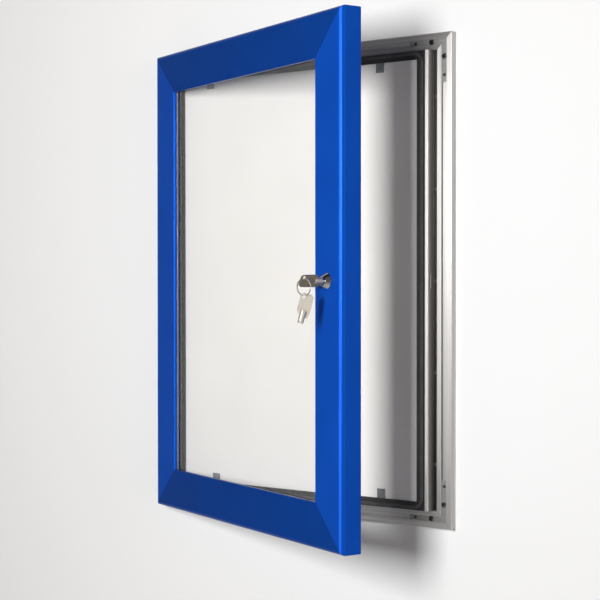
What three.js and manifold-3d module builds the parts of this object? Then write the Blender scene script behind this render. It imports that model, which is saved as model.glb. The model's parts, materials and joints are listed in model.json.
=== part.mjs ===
// Lockable notice board for one portrait poster. A mitred aluminium frame is fixed to the wall and
// carries a white board, a rubber seal and four poster clips. A glazed door laps over it like a lid,
// hangs on two pin hinges at the left and is shut by a tubular key lock at the right.
// Millimetres. +X right, +Z up, -Y out of the wall. The origin is the frame's middle, on the wall.

import * as THREE from 'three';
import { mergeVertices } from 'three/addons/utils/BufferGeometryUtils.js';
import Module from 'manifold-3d';

const wasm = await Module();
wasm.setup();

// Poster that the board is made for
const poster = { width: 420, height: 594 };

// Clearances: a seated piece, a mitred end, between knuckles and round the turning cam
const gap = { seat: 0.3, mitre: 0.15, knuckle: 0.4, cam: 0.5 };

// How far a cutting tool runs past what it cuts, and how near two corners count as one
const overrun = 2;
const weld = 0.0001;

// Sides that stand for a full circle
const sides = { small: 16, medium: 24, large: 40 };

// White board, with its margins beyond the poster
const board = { sideMargin: 0.75, endMargin: 7.2, thickness: 15.7 };

// Frame extrusion: across is measured from its outer edge, out is measured off the wall
const frameRail = {
  height: 10.5,
  base: 3,
  skin: 1.5,
  edgeRadius: 1.2,
  bevel: 0.4,
  outerFlange: 8.3,
  slotMouth: 7.3,
  innerFlange: 6.9,
  slotLip: 1.2,
  slotUndercut: 0.9,
  slotFloor: 6.2,
  ledge: 4.5,
};

// L-shaped keys in the frame's slot, with holes for wall screws and for grub screws
const frameKey = { arm: 65, thickness: 2.5, fixingAt: 31.5, fixingRadius: 3.25, grubAt: 56 };
const grub = { radius: 2, length: 3, socketRadius: 1.05, socketDepth: 1.6 };

// Box upright beside the board that the lock's cam turns into
const strip = {
  channel: 8.2,
  width: 4.7,
  height: 20,
  skin: 1.2,
  foot: 7.2,
  footThickness: 1.5,
  bevel: 0.5,
};

// Rubber seal on the board's edge: a flat base with a soft bead on it
const seal = {
  width: 11.6,
  base: 1.4,
  lipInset: 0.9,
  lipWidth: 4.6,
  lipHeight: 1.8,
  lipRadius: 16,
  lipCrown: 0.8,
};

// Clear poster clips, with their middles' places from the poster's sides
const clip = {
  width: 12.5,
  reach: 12.5,
  root: 3,
  height: 1.8,
  sheet: 0.8,
  grip: 2,
  gripRise: 0.5,
  topLeftInset: 60.5,
  topRightInset: 68.5,
  bottomLeftInset: 69.5,
  bottomRightInset: 66.5,
};

// Door extrusion: across is measured from its outer edge, out is measured off the wall when shut
const doorRail = {
  lap: 8,
  front: 32.4,
  depth: 30,
  face: 58.5,
  skin: 1.8,
  edgeRadius: 6.3,
  rearBevel: 0.4,
  rearRounding: { across: 1.3, deep: 2.6 },
  windowBevel: 0.6,
  windowLip: 4,
  tubeFrom: 23.6,
  tubeTo: 49,
  tubeDepth: 9.5,
  tubeSkin: 1.5,
};
const doorKey = { arm: 75 };

// Glazing and the beads behind it
const pane = { thickness: 2 };
const bead = { width: 8.6, bevel: 1.2 };

// Pin hinges: the axis is placed from the door's side face and off the wall
const hinge = {
  fromDoorFace: 4.4,
  offWall: 5.4,
  length: 60,
  fromMiddle: 230,
  middleKnuckle: 20,
  knuckleRadius: 2,
  pinRadius: 1,
  pinHeadRadius: 1.8,
  pinHead: 1.2,
  leaf: 1,
  web: 1,
  frameLeafReach: 22,
  doorLeafTop: 26,
  doorScrew: 18,
  screwRadius: 1.7,
  screwSpread: 20,
  openAngle: THREE.MathUtils.degToRad(21.8),
};

// Tubular lock: its body's depth is behind the door's face, its other lengths stand in front of it
const lock = {
  fromDoorEdge: 31.8,
  bodyRadius: 6,
  bodyDepth: 17.4,
  shoulder: 1,
  neckRadius: 5.2,
  neck: 8.2,
  plugRadius: 4,
  plugFace: 1.7,
  postRadius: 1.6,
  post: 7.6,
  tenon: 5,
  nutFlats: 14,
  nutThickness: 2.1,
};
const collar = { radius: 10.2, brim: 0.7, mouthWall: 0.7, height: 6.5 };
const cam = { thickness: 2, width: 7, hubRadius: 5, engagement: 3.2, corner: 1.5, slotSpare: 1.2 };
const camScrew = { headRadius: 3, head: 1, shankRadius: 1.2, shank: 4 };

// Key: along is measured from the tube's tip, across from the tube's axis
const key = {
  tipStandoff: 0.3,
  tubeRadius: 3.7,
  tubeBore: 2.3,
  boreDepth: 8,
  tubeLength: 15.5,
  plate: 1.8,
  bowWidth: 16.6,
  bowEnd: 37,
  bowCorner: 4.5,
  shoulder: 15,
  finEnd: 9,
  longShoulder: 13,
  longFinEnd: 7.2,
  longFinHalf: 6.4,
  holeAlong: 32.6,
  holeAcross: 4.4,
  holeRadius: 2.6,
  turn: THREE.MathUtils.degToRad(30),
};

// Split ring in the key's hole, turned about the vertical, and the spare key that hangs on it
const ring = {
  radius: 10.7,
  wireRadius: 0.45,
  pitch: 1.35,
  holeSpare: 1.55,
  stepOver: THREE.MathUtils.degToRad(34),
  turn: THREE.MathUtils.degToRad(17.8),
  steps: 56,
};
const spareKey = { faceTurn: THREE.MathUtils.degToRad(58), lean: THREE.MathUtils.degToRad(16) };

// Sizes that follow from the ones above
const boardWidth = poster.width + 2 * board.sideMargin;
const boardHeight = poster.height + 2 * board.endMargin;
const boardFace = frameRail.base + gap.seat + board.thickness;
const slotEnd = frameRail.outerFlange + frameRail.slotMouth;
const slotFrom = frameRail.outerFlange - frameRail.slotUndercut;
const slotTo = slotEnd + frameRail.slotUndercut;
const slotMiddle = frameRail.outerFlange + frameRail.slotMouth / 2;
const frameInner = slotEnd + frameRail.innerFlange;
const stripFrom = frameInner + strip.channel;
const boardFromLeft = frameInner + gap.seat;
const boardFromRight = stripFrom + strip.width + gap.seat;
const frameWidth = boardFromLeft + boardWidth + boardFromRight;
const frameHeight = boardHeight + 2 * boardFromLeft;
const boardMiddle = (boardFromLeft - boardFromRight) / 2;
const doorWidth = frameWidth + 2 * doorRail.lap;
const doorHeight = frameHeight + 2 * doorRail.lap;
const doorRear = doorRail.front - doorRail.depth;
const tubeRear = doorRail.front - doorRail.tubeDepth;
const paneFront = doorRail.front - doorRail.windowLip - gap.seat;
const paneRear = paneFront - pane.thickness;
const hingeX = hinge.fromDoorFace - doorWidth / 2;
const lockX = doorWidth / 2 - lock.fromDoorEdge;
const camToStrip = stripFrom + doorRail.lap - lock.fromDoorEdge;
const camReach = camToStrip + cam.engagement;
const plugRear = doorRail.front - lock.bodyDepth - gap.seat;
const camFront = plugRear - gap.seat;
const camRear = camFront - cam.thickness;

// Finishes
function finish(color, roughness, metalness, opacity = 1) {
  const transparent = opacity < 1;
  return () => new THREE.MeshStandardMaterial({ color, roughness, metalness, opacity, transparent });
}
const bluePowderCoat = finish('#0f45a2', 0.42, 0);
const satinAnodised = finish('#c9c8c6', 0.38, 1);
const whiteLaminate = finish('#efedea', 0.45, 0);
const blackRubber = finish('#1f1e1e', 0.7, 0);
const clearAcrylic = finish('#eef3f2', 0.05, 0, 0.25);
const clipPlastic = finish('#8f9190', 0.3, 0, 0.8);
const brightChrome = finish('#b9b8b2', 0.12, 1);
const nickelPlate = finish('#b3aea4', 0.25, 1);
const zincPlate = finish('#c2c4c6', 0.35, 1);

// A closed geometry as a solid that can be cut and joined
function toSolid(geometry) {
  const bare = geometry.clone();
  bare.deleteAttribute('normal');
  bare.deleteAttribute('uv');
  const merged = mergeVertices(bare, weld);
  const corners = merged.index.array;
  const triangles = [];
  for (let i = 0; i < corners.length; i += 3) {
    const [a, b, c] = corners.slice(i, i + 3);
    if (a !== b && b !== c && c !== a) triangles.push(a, b, c);
  }
  return new wasm.Manifold(new wasm.Mesh({
    numProp: 3,
    vertProperties: new Float32Array(merged.attributes.position.array),
    triVerts: new Uint32Array(triangles),
  }));
}

function toGeometry(solid) {
  const mesh = solid.getMesh();
  const indexed = new THREE.BufferGeometry();
  indexed.setAttribute('position', new THREE.BufferAttribute(new Float32Array(mesh.vertProperties), 3));
  indexed.setIndex(new THREE.BufferAttribute(new Uint32Array(mesh.triVerts), 1));
  const geometry = indexed.toNonIndexed();
  geometry.computeVertexNormals();
  return geometry;
}

function cut(geometry, tools) {
  return toGeometry(tools.reduce((solid, tool) => solid.subtract(toSolid(tool)), toSolid(geometry)));
}

function join(geometries) {
  const [first, ...others] = geometries.map(toSolid);
  return toGeometry(others.reduce((solid, other) => solid.add(other), first));
}

// Outlines
function outline(points) {
  return new THREE.Shape(points.map(([x, y]) => new THREE.Vector2(x, y)));
}

function rectangle(left, right, bottom, top) {
  return outline([[left, bottom], [right, bottom], [right, top], [left, top]]);
}

function roundedRectangle(left, right, bottom, top, radius) {
  const shape = new THREE.Shape();
  shape.moveTo(left + radius, bottom);
  shape.absarc(right - radius, bottom + radius, radius, -Math.PI / 2, 0, false);
  shape.absarc(right - radius, top - radius, radius, 0, Math.PI / 2, false);
  shape.absarc(left + radius, top - radius, radius, Math.PI / 2, Math.PI, false);
  shape.absarc(left + radius, bottom + radius, radius, Math.PI, 1.5 * Math.PI, false);
  return shape;
}

function circle(x, y, radius) {
  return new THREE.Shape().absarc(x, y, radius, 0, 2 * Math.PI, false);
}

// Drawn outlines given a thickness. Arcs are split into twice as many pieces as curveSegments says.
function prism(shape, depth, curveSegments = 5) {
  return new THREE.ExtrudeGeometry(shape, { depth, bevelEnabled: false, curveSegments });
}

// Plate in the wall's plane: drawn in X and Z, filled from one distance off the wall to another
function plate(shape, from, to, curveSegments = 5) {
  return prism(shape, to - from, curveSegments).rotateX(Math.PI / 2).translate(0, -from, 0);
}

// Upright bar: drawn in X and out, with its length along Z
function column(shape, length, middle = 0, curveSegments = 5) {
  const centred = prism(shape, length, curveSegments).translate(0, 0, -length / 2);
  return centred.rotateX(Math.PI).translate(0, 0, middle);
}

// Bar lying along X: drawn in across, which is up, and out
function straight(shape, length) {
  return prism(shape, length).translate(0, 0, -length / 2).rotateY(Math.PI / 2).rotateX(Math.PI);
}

// The same with both ends mitred at 45 degrees, its whole length lying at across 0
function mitred(shape, length, curveSegments = 5) {
  const geometry = prism(shape, 1, curveSegments);
  const place = geometry.attributes.position;
  for (let i = 0; i < place.count; i += 1) {
    const across = place.getX(i);
    const end = length / 2 - across - gap.mitre;
    place.setXYZ(i, end * (2 * place.getZ(i) - 1), -place.getY(i), across);
  }
  return geometry;
}

// Round bar standing off the wall
function bar(x, z, radius, from, to, segments = sides.small) {
  return new THREE.CylinderGeometry(radius, radius, to - from, segments).translate(x, -(from + to) / 2, z);
}

// Piece turned about Y from points of radius and height, running up its outer side
function turned(points, segments = sides.medium) {
  const profile = points.map(([radius, height]) => new THREE.Vector2(radius, height));
  if (points[0][0] > 0) profile.push(profile[0].clone());
  return new THREE.LatheGeometry(profile, segments);
}

// The same about an axis that stands off the wall, with its heights measured off the wall
function turnedOut(points, segments = sides.medium) {
  return turned(points, segments).rotateX(Math.PI);
}

// The board, and the door inside it with its axis at the hinges and its own places those when shut
const noticeBoard = new THREE.Group();
const doorSwing = new THREE.Group();
const door = new THREE.Group();
doorSwing.position.set(hingeX, -hinge.offWall, 0);
doorSwing.rotation.z = -hinge.openAngle;
door.position.set(-hingeX, hinge.offWall, 0);
doorSwing.add(door);
noticeBoard.add(doorSwing);

function piece(parent, name, geometry, material) {
  const mesh = new THREE.Mesh(geometry, material());
  mesh.name = name;
  parent.add(mesh);
  return mesh;
}

// The four sides of a rectangle, with the place and turn that take a bar lying along its bottom there
function fourSides(width, height) {
  return [
    { side: 'bottom', length: width, x: 0, z: -height / 2, turn: 0 },
    { side: 'right', length: height, x: width / 2, z: 0, turn: -Math.PI / 2 },
    { side: 'top', length: width, x: 0, z: height / 2, turn: Math.PI },
    { side: 'left', length: height, x: -width / 2, z: 0, turn: Math.PI / 2 },
  ];
}

// The four corners, with the place and turn that take an L drawn at the bottom left there
function fourCorners(width, height) {
  return [
    { corner: 'bottom_left', x: -width / 2, z: -height / 2, turn: 0 },
    { corner: 'bottom_right', x: width / 2, z: -height / 2, turn: -Math.PI / 2 },
    { corner: 'top_right', x: width / 2, z: height / 2, turn: Math.PI },
    { corner: 'top_left', x: -width / 2, z: height / 2, turn: Math.PI / 2 },
  ];
}

function placed(parent, { x, z, turn }) {
  const group = new THREE.Group();
  group.position.set(x, 0, z);
  group.rotation.y = turn;
  parent.add(group);
  return group;
}

// L between two distances from the outer edges, with arms that end at the same distance
function cornerShape(from, to, arm) {
  return outline([[from, from], [arm, from], [arm, to], [to, to], [to, arm], [from, arm]]);
}

// Frame extrusion: an undercut slot, a ledge under the board and three closed chambers
function frameRailShape(ledge) {
  const { height, base, edgeRadius, bevel, outerFlange, slotLip, slotFloor } = frameRail;
  const shape = outline([
    [0, 0],
    [frameInner + ledge, 0],
    [frameInner + ledge, base],
    [frameInner, base],
    [frameInner, height - bevel],
    [frameInner - bevel, height],
    [slotEnd + bevel, height],
    [slotEnd, height - bevel],
    [slotEnd, height - slotLip],
    [slotTo, height - slotLip],
    [slotTo, slotFloor],
    [slotFrom, slotFloor],
    [slotFrom, height - slotLip],
    [outerFlange, height - slotLip],
    [outerFlange, height - bevel],
    [outerFlange - bevel, height],
  ]);
  shape.absarc(edgeRadius, height - edgeRadius, edgeRadius, Math.PI / 2, Math.PI, false);
  return shape;
}

function frameChambers() {
  const { height, skin, slotFloor } = frameRail;
  return [
    rectangle(skin, slotFrom - skin, skin, height - skin),
    rectangle(slotFrom, slotTo, skin, slotFloor - skin),
    rectangle(slotTo + skin, frameInner - skin, skin, height - skin),
  ];
}

function addFrameRails() {
  const lockLedge = strip.channel + strip.width + gap.seat + frameRail.ledge;
  fourSides(frameWidth, frameHeight).forEach((place) => {
    const shape = frameRailShape(place.side === 'right' ? lockLedge : frameRail.ledge);
    const fixings = [-1, 1].map((end) => bar(
      end * (place.length / 2 - frameKey.fixingAt),
      slotMiddle,
      frameKey.fixingRadius,
      -overrun,
      frameRail.height + overrun,
    ));
    const chambers = frameChambers().map((chamber) => straight(chamber, place.length));
    const rail = cut(mitred(shape, place.length, 3), [...chambers, ...fixings]);
    piece(placed(noticeBoard, place), `frame_rail_${place.side}`, rail, satinAnodised);
  });
}

// Frame corner keys and the two grub screws that lock each of them
function frameKeyGeometry() {
  const shape = cornerShape(slotFrom + gap.seat, slotTo - gap.seat, frameKey.arm);
  const rest = frameRail.slotFloor + gap.seat;
  const holes = [[frameKey.fixingAt, frameKey.fixingRadius], [frameKey.grubAt, grub.radius + gap.seat]]
    .flatMap(([along, radius]) => [
      bar(along, slotMiddle, radius, 0, frameRail.height),
      bar(slotMiddle, along, radius, 0, frameRail.height),
    ]);
  return cut(plate(shape, rest, rest + frameKey.thickness), holes);
}

function grubGeometry() {
  const from = frameRail.slotFloor + gap.seat;
  const to = from + grub.length;
  const socket = bar(0, 0, grub.socketRadius, to - grub.socketDepth, to + overrun, 6);
  return cut(bar(0, 0, grub.radius, from, to), [socket]);
}

function addFrameKeys() {
  fourCorners(frameWidth, frameHeight).forEach((place) => {
    const group = placed(noticeBoard, place);
    piece(group, `frame_corner_key_${place.corner}`, frameKeyGeometry(), zincPlate);
    [[frameKey.grubAt, slotMiddle], [slotMiddle, frameKey.grubAt]].forEach(([x, z], index) => {
      const screw = piece(group, `grub_screw_${place.corner}_${index + 1}`, grubGeometry(), zincPlate);
      screw.position.set(x, 0, z);
    });
  });
}

// Lock strip: a box section on a foot, screwed to the ledge, with a slot for the cam
function addLockStrip() {
  const { width, height, skin, foot, footThickness, bevel } = strip;
  const outer = frameWidth / 2 - stripFrom;
  const inner = outer - width;
  const under = frameRail.base + gap.seat;
  const shape = outline([
    [inner, under],
    [outer + foot, under],
    [outer + foot, under + footThickness],
    [outer, under + footThickness],
    [outer, height - bevel],
    [outer - bevel, height],
    [inner + bevel, height],
    [inner, height - bevel],
  ]);
  shape.holes.push(rectangle(inner + skin, outer - skin, under + skin, height - skin));
  const camCorner = Math.hypot(camReach, cam.width / 2);
  const slotHalf = Math.sqrt(camCorner ** 2 - camToStrip ** 2) + cam.slotSpare;
  const slot = rectangle(outer - width / 2, outer + overrun, camRear - gap.cam, camFront + gap.cam);
  const upright = cut(column(shape, boardHeight), [column(slot, 2 * slotHalf)]);
  piece(noticeBoard, 'lock_strip', upright, satinAnodised);
}

// White board on the ledges of all four rails
function addBoard() {
  const left = boardMiddle - boardWidth / 2;
  const shape = rectangle(left, left + boardWidth, -boardHeight / 2, boardHeight / 2);
  piece(noticeBoard, 'back_panel', plate(shape, frameRail.base + gap.seat, boardFace), whiteLaminate);
}

// Seal: a flat base with square corners, and a round-cornered bead on it
function addSeal() {
  const left = boardMiddle - boardWidth / 2;
  const right = boardMiddle + boardWidth / 2;
  const top = boardHeight / 2;
  const inset = (shapeOf, by, radius) => shapeOf(left + by, right - by, by - top, top - by, radius);
  const { width, base, lipInset, lipWidth, lipHeight, lipRadius, lipCrown } = seal;
  const under = boardFace + gap.seat;
  const baseShape = inset(rectangle, 0);
  baseShape.holes.push(inset(rectangle, width));
  const lipShape = inset(roundedRectangle, lipInset, lipRadius);
  lipShape.holes.push(inset(roundedRectangle, lipInset + lipWidth, lipRadius - lipWidth));
  const lip = new THREE.ExtrudeGeometry(lipShape, {
    depth: lipHeight - lipCrown,
    bevelThickness: lipCrown,
    bevelSize: lipCrown,
    bevelOffset: -lipCrown,
    bevelSegments: 3,
    curveSegments: 4,
  });
  lip.rotateX(Math.PI / 2).translate(0, -under - base, 0);
  piece(noticeBoard, 'seal', join([plate(baseShape, under, under + base), lip]), blackRubber);
}

// Clips: a root on the board beside the seal, and a springy flap that the poster slides under
function addClips() {
  const rest = boardFace + gap.seat;
  const top = rest + clip.height;
  const flapUnder = top - clip.sheet;
  const geometry = straight(outline([
    [0, rest],
    [clip.root, rest],
    [clip.root, flapUnder],
    [clip.reach - clip.grip, flapUnder],
    [clip.reach, flapUnder + clip.gripRise],
    [clip.reach, top + clip.gripRise],
    [clip.reach - clip.grip, top],
    [0, top],
  ]), clip.width);
  const edge = boardHeight / 2 - seal.width - gap.seat;
  const left = boardMiddle - poster.width / 2;
  const right = boardMiddle + poster.width / 2;
  [
    { corner: 'top_left', x: left + clip.topLeftInset, z: edge, turn: Math.PI },
    { corner: 'top_right', x: right - clip.topRightInset, z: edge, turn: Math.PI },
    { corner: 'bottom_left', x: left + clip.bottomLeftInset, z: -edge, turn: 0 },
    { corner: 'bottom_right', x: right - clip.bottomRightInset, z: -edge, turn: 0 },
  ].forEach((place) => {
    piece(placed(noticeBoard, place), `poster_clip_${place.corner}`, geometry.clone(), clipPlastic);
  });
}

// Door extrusion: a side skin with a round front edge and an eased rear edge, a face, a box tube behind
// it and a window lip
function doorRailShape() {
  const { front, face, skin, edgeRadius, windowBevel, windowLip, tubeFrom, tubeTo } = doorRail;
  const { rearBevel, rearRounding: { across, deep } } = doorRail;
  const faceRear = front - skin;
  const shape = new THREE.Shape();
  shape.moveTo(across, doorRear);
  shape.lineTo(skin - rearBevel, doorRear);
  shape.lineTo(skin, doorRear + rearBevel);
  shape.absarc(edgeRadius, front - edgeRadius, edgeRadius - skin, Math.PI, Math.PI / 2, true);
  shape.lineTo(tubeFrom, faceRear);
  shape.lineTo(tubeFrom, tubeRear);
  shape.lineTo(tubeTo, tubeRear);
  shape.lineTo(tubeTo, faceRear);
  shape.lineTo(face - skin, faceRear);
  shape.lineTo(face - skin, front - windowLip);
  shape.lineTo(face, front - windowLip);
  shape.lineTo(face, front - windowBevel);
  shape.lineTo(face - windowBevel, front);
  shape.absarc(edgeRadius, front - edgeRadius, edgeRadius, Math.PI / 2, Math.PI, false);
  shape.absellipse(across, doorRear + deep, across, deep, Math.PI, 1.5 * Math.PI, false);
  return shape;
}

function addDoorRails() {
  const { tubeFrom, tubeTo, tubeSkin, front, skin } = doorRail;
  const tube = rectangle(tubeFrom + tubeSkin, tubeTo - tubeSkin, tubeRear + tubeSkin, front - skin);
  const lockHole = bar(
    0,
    lock.fromDoorEdge,
    lock.bodyRadius + gap.seat,
    doorRear,
    front + overrun,
    sides.large,
  );
  fourSides(doorWidth, doorHeight).forEach((place) => {
    const hollows = [straight(tube, place.length), ...(place.side === 'right' ? [lockHole] : [])];
    const rail = cut(mitred(doorRailShape(), place.length), hollows);
    piece(placed(door, place), `door_rail_${place.side}`, rail, bluePowderCoat);
  });
}

// Corner keys inside the door's box tube
function addDoorKeys() {
  const { tubeFrom, tubeTo, tubeSkin, front, skin } = doorRail;
  const shape = cornerShape(tubeFrom + tubeSkin + gap.seat, tubeTo - tubeSkin - gap.seat, doorKey.arm);
  fourCorners(doorWidth, doorHeight).forEach((place) => {
    const geometry = plate(shape, tubeRear + tubeSkin + gap.seat, front - skin - gap.seat);
    piece(placed(door, place), `door_corner_key_${place.corner}`, geometry, zincPlate);
  });
}

// Glazing behind the window lip, and the four mitred beads that hold it there
function addGlazing() {
  const edge = doorRail.tubeTo + gap.seat;
  const across = doorWidth / 2 - edge;
  const up = doorHeight / 2 - edge;
  piece(door, 'glazing', plate(rectangle(-across, across, -up, up), paneRear, paneFront), clearAcrylic);
  const beadShape = outline([
    [edge, tubeRear],
    [edge + bead.width - bead.bevel, tubeRear],
    [edge + bead.width, tubeRear + bead.bevel],
    [edge + bead.width, paneRear - gap.seat],
    [edge, paneRear - gap.seat],
  ]);
  fourSides(doorWidth, doorHeight).forEach((place) => {
    const geometry = mitred(beadShape, place.length);
    piece(placed(door, place), `glazing_bead_${place.side}`, geometry, satinAnodised);
  });
}

// Pin hinges: the frame leaf carries the two end knuckles, the door leaf the middle one
function knuckle(length, middle) {
  return column(circle(hingeX, hinge.offWall, hinge.knuckleRadius), length, middle, 8);
}

function pinBore() {
  return column(circle(hingeX, hinge.offWall, hinge.pinRadius + gap.seat), hinge.length + overrun, 0, 8);
}

function frameLeafGeometry() {
  const { length, middleKnuckle, knuckleRadius, offWall, leaf, web, frameLeafReach, screwRadius } = hinge;
  const side = -frameWidth / 2 - gap.seat;
  const inside = -frameWidth / 2 + frameLeafReach;
  const top = frameRail.height + gap.seat + leaf;
  const clearOfKnuckle = offWall + knuckleRadius + gap.seat;
  const endKnuckle = (length - middleKnuckle) / 2 - gap.knuckle;
  const bent = outline([
    [side - leaf, clearOfKnuckle],
    [side, clearOfKnuckle],
    [side, top - leaf],
    [inside, top - leaf],
    [inside, top],
    [side - leaf, top],
  ]);
  const solids = [column(bent, length)];
  [-1, 1].forEach((end) => {
    const middle = end * (length - endKnuckle) / 2;
    solids.push(
      knuckle(endKnuckle, middle),
      column(rectangle(hingeX, side, offWall - web, offWall + web), endKnuckle, middle),
      column(rectangle(side - leaf, side, offWall - web, clearOfKnuckle + leaf), endKnuckle, middle),
    );
  });
  const flanges = [frameRail.outerFlange / 2, (slotEnd + frameInner) / 2];
  const screwHoles = [-1, 1].flatMap((end) => flanges.map((across) => bar(
    across - frameWidth / 2,
    end * hinge.screwSpread,
    screwRadius,
    top - leaf - overrun,
    top + overrun,
  )));
  return cut(join(solids), [pinBore(), ...screwHoles]);
}

function doorLeafGeometry() {
  const { length, middleKnuckle, knuckleRadius, offWall, leaf, web } = hinge;
  const { doorLeafTop, doorScrew, screwRadius } = hinge;
  const side = doorRail.skin + gap.seat - doorWidth / 2;
  const clearOfKnuckle = offWall + knuckleRadius + gap.seat;
  const leafPlate = column(rectangle(side, side + leaf, clearOfKnuckle, doorLeafTop), length);
  const lug = column(rectangle(side, side + leaf, offWall - web, clearOfKnuckle + leaf), middleKnuckle);
  const bridge = column(rectangle(side, hingeX, offWall - web, offWall + web), middleKnuckle);
  const screwHoles = [-1, 1].map((end) => {
    const hole = new THREE.CylinderGeometry(screwRadius, screwRadius, leaf + 2 * overrun, sides.small);
    return hole.rotateZ(Math.PI / 2).translate(side + leaf / 2, -doorScrew, end * hinge.screwSpread);
  });
  return cut(join([leafPlate, lug, bridge, knuckle(middleKnuckle, 0)]), [pinBore(), ...screwHoles]);
}

function pinGeometry() {
  const { length, pinRadius, pinHeadRadius, pinHead } = hinge;
  const shoulder = length / 2 + gap.seat;
  return turned([
    [0, -shoulder - pinHead],
    [pinHeadRadius, -shoulder - pinHead],
    [pinHeadRadius, -shoulder],
    [pinRadius, -shoulder],
    [pinRadius, shoulder],
    [pinHeadRadius, shoulder],
    [pinHeadRadius, shoulder + pinHead],
    [0, shoulder + pinHead],
  ], sides.small).rotateX(Math.PI / 2).translate(hingeX, -hinge.offWall, 0);
}

function addHinges() {
  [['upper', hinge.fromMiddle], ['lower', -hinge.fromMiddle]].forEach(([name, z]) => {
    piece(noticeBoard, `hinge_${name}_frame_leaf`, frameLeafGeometry(), zincPlate).position.z = z;
    piece(noticeBoard, `hinge_${name}_pin`, pinGeometry(), zincPlate).position.z = z;
    piece(door, `hinge_${name}_door_leaf`, doorLeafGeometry(), zincPlate).position.z = z;
  });
}

// Lock: a threaded body with a cone-shaped collar in front and a nut behind, round a plug that turns
// the cam
function collarGeometry() {
  const { radius, brim, mouthWall, height } = collar;
  const bore = lock.neckRadius + gap.seat;
  const seat = doorRail.front + gap.seat;
  const end = doorRail.front + height;
  return turnedOut([
    [lock.bodyRadius + gap.seat, seat],
    [radius, seat],
    [radius, seat + brim],
    [bore + mouthWall, end],
    [bore, end],
    [bore, seat + lock.shoulder],
    [lock.bodyRadius + gap.seat, seat + lock.shoulder],
  ], sides.large);
}

function lockBodyGeometry() {
  const { bodyRadius, bodyDepth, shoulder, neckRadius, neck, plugRadius } = lock;
  const front = doorRail.front;
  const bore = plugRadius + gap.seat;
  return turnedOut([
    [bore, front - bodyDepth],
    [bodyRadius, front - bodyDepth],
    [bodyRadius, front + shoulder],
    [neckRadius, front + shoulder],
    [neckRadius, front + neck],
    [bore, front + neck],
  ], sides.large);
}

function nutGeometry() {
  const corner = lock.nutFlats / Math.sqrt(3);
  const cornerAngles = [0, 1, 2, 3, 4, 5].map((count) => count * Math.PI / 3);
  const shape = outline(cornerAngles.map((angle) => [corner * Math.cos(angle), corner * Math.sin(angle)]));
  shape.holes.push(circle(0, 0, lock.bodyRadius + gap.seat));
  return plate(shape, tubeRear - gap.seat - lock.nutThickness, tubeRear - gap.seat, 16);
}

function plugGeometry() {
  const { plugRadius, plugFace, postRadius, post, tenon } = lock;
  const face = doorRail.front + plugFace;
  const body = turnedOut([
    [0, plugRear],
    [plugRadius, plugRear],
    [plugRadius, face],
    [postRadius, face],
    [postRadius, doorRail.front + post],
    [0, doorRail.front + post],
  ]);
  const squareShape = rectangle(-tenon / 2, tenon / 2, -tenon / 2, tenon / 2);
  const square = plate(squareShape, camRear, plugRear + overrun);
  const screwBore = camScrew.shankRadius + gap.seat;
  const boreEnd = camRear + camScrew.shank;
  return cut(join([body, square]), [bar(0, 0, screwBore, camRear - overrun, boreEnd)]);
}

function camGeometry() {
  const half = cam.width / 2;
  const { hubRadius, corner } = cam;
  const meet = Math.asin(half / hubRadius);
  const shape = new THREE.Shape();
  shape.absarc(0, 0, hubRadius, Math.PI / 2 + meet, Math.PI / 2 - meet + 2 * Math.PI, false);
  shape.absarc(half - corner, camReach - corner, corner, 0, Math.PI / 2, false);
  shape.absarc(corner - half, camReach - corner, corner, Math.PI / 2, Math.PI, false);
  const opening = lock.tenon / 2 + gap.seat;
  shape.holes.push(rectangle(-opening, opening, -opening, opening));
  return plate(shape, camRear, camFront, 6);
}

function camScrewGeometry() {
  const { headRadius, head, shankRadius, shank } = camScrew;
  const seat = camRear - gap.seat;
  return turnedOut([
    [0, seat - head],
    [headRadius, seat - head],
    [headRadius, seat],
    [shankRadius, seat],
    [shankRadius, seat + shank],
    [0, seat + shank],
  ], sides.small);
}

function addLock() {
  const group = new THREE.Group();
  group.position.x = lockX;
  door.add(group);
  piece(group, 'lock_collar', collarGeometry(), brightChrome);
  piece(group, 'lock_body', lockBodyGeometry(), brightChrome);
  piece(group, 'lock_nut', nutGeometry(), zincPlate);
  piece(group, 'lock_plug', plugGeometry(), brightChrome);
  piece(group, 'lock_cam', camGeometry(), zincPlate);
  piece(group, 'cam_screw', camScrewGeometry(), zincPlate);
}

// Key: a bored tube held between the fins of a flat bow, with the ring's hole near one corner and the
// longer fin on the other side
function bowGeometry() {
  const { tubeRadius, tubeLength, bowWidth, bowEnd, bowCorner } = key;
  const half = bowWidth / 2;
  const notch = tubeRadius + gap.seat;
  const shape = new THREE.Shape();
  shape.moveTo(notch, tubeLength + gap.seat);
  shape.lineTo(notch, key.finEnd);
  shape.lineTo(half, key.shoulder);
  shape.absarc(half - bowCorner, bowEnd - bowCorner, bowCorner, 0, Math.PI / 2, false);
  shape.absarc(bowCorner - half, bowEnd - bowCorner, bowCorner, Math.PI / 2, Math.PI, false);
  shape.lineTo(-half, key.longShoulder);
  shape.lineTo(-key.longFinHalf, key.longFinEnd);
  shape.lineTo(-notch, key.longFinEnd);
  shape.lineTo(-notch, tubeLength + gap.seat);
  shape.holes.push(circle(key.holeAcross, key.holeAlong, key.holeRadius));
  return prism(shape, key.plate, 8).translate(0, 0, -key.plate / 2);
}

function tubeGeometry() {
  const { tubeRadius, tubeBore, boreDepth, tubeLength } = key;
  return turned([
    [0, boreDepth],
    [tubeBore, boreDepth],
    [tubeBore, 0],
    [tubeRadius, 0],
    [tubeRadius, tubeLength],
    [0, tubeLength],
  ]);
}

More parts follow.
